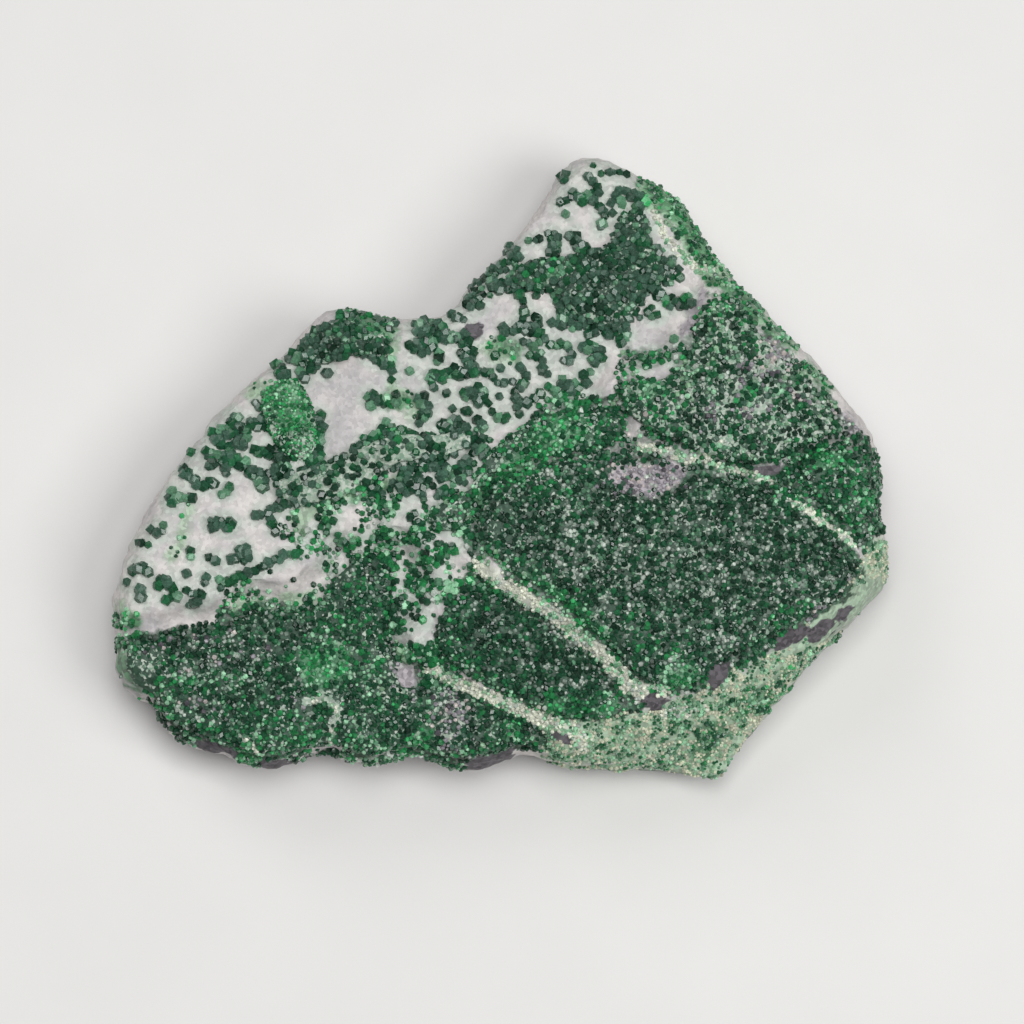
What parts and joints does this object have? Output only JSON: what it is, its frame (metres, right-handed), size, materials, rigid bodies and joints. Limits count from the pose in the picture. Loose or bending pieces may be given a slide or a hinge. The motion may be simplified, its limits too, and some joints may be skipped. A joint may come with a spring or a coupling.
{
  "type": "uvarovite mineral specimen",
  "caption": "Loose slab of pale-veined chromite rock with sheets of small green garnet crystals grown over its upper face, parted by bare ledges, lying on a flat trimmed back.",
  "frame": {"origin": "on the flat back, under the middle of the slab's outline", "axes": "+X along the slab's longest extent, to the right as its crystal face is seen; +Y up that face, towards the narrow tip; +Z out of the crystal face"},
  "size_m": [0.0803, 0.065, 0.0179],
  "materials": {
    "matrix": "matt broken rock",
    "dark_garnet": "glassy crystal faces",
    "garnet": "glassy crystal faces",
    "bright_garnet": "glassy crystal faces"
  },
  "bodies": {
    "root": {"matrix": "matrix", "crust_large_panel": "dark_garnet", "crust_small_panel": "dark_garnet", "crust_right_lobe": "garnet", "crust_upper_right": "garnet", "crust_lower_left": "garnet", "crust_middle": "bright_garnet", "crust_top": "dark_garnet", "crust_crest": "garnet", "crust_pocket": "bright_garnet", "crust_band": "garnet"}
  },
  "joints": []
}
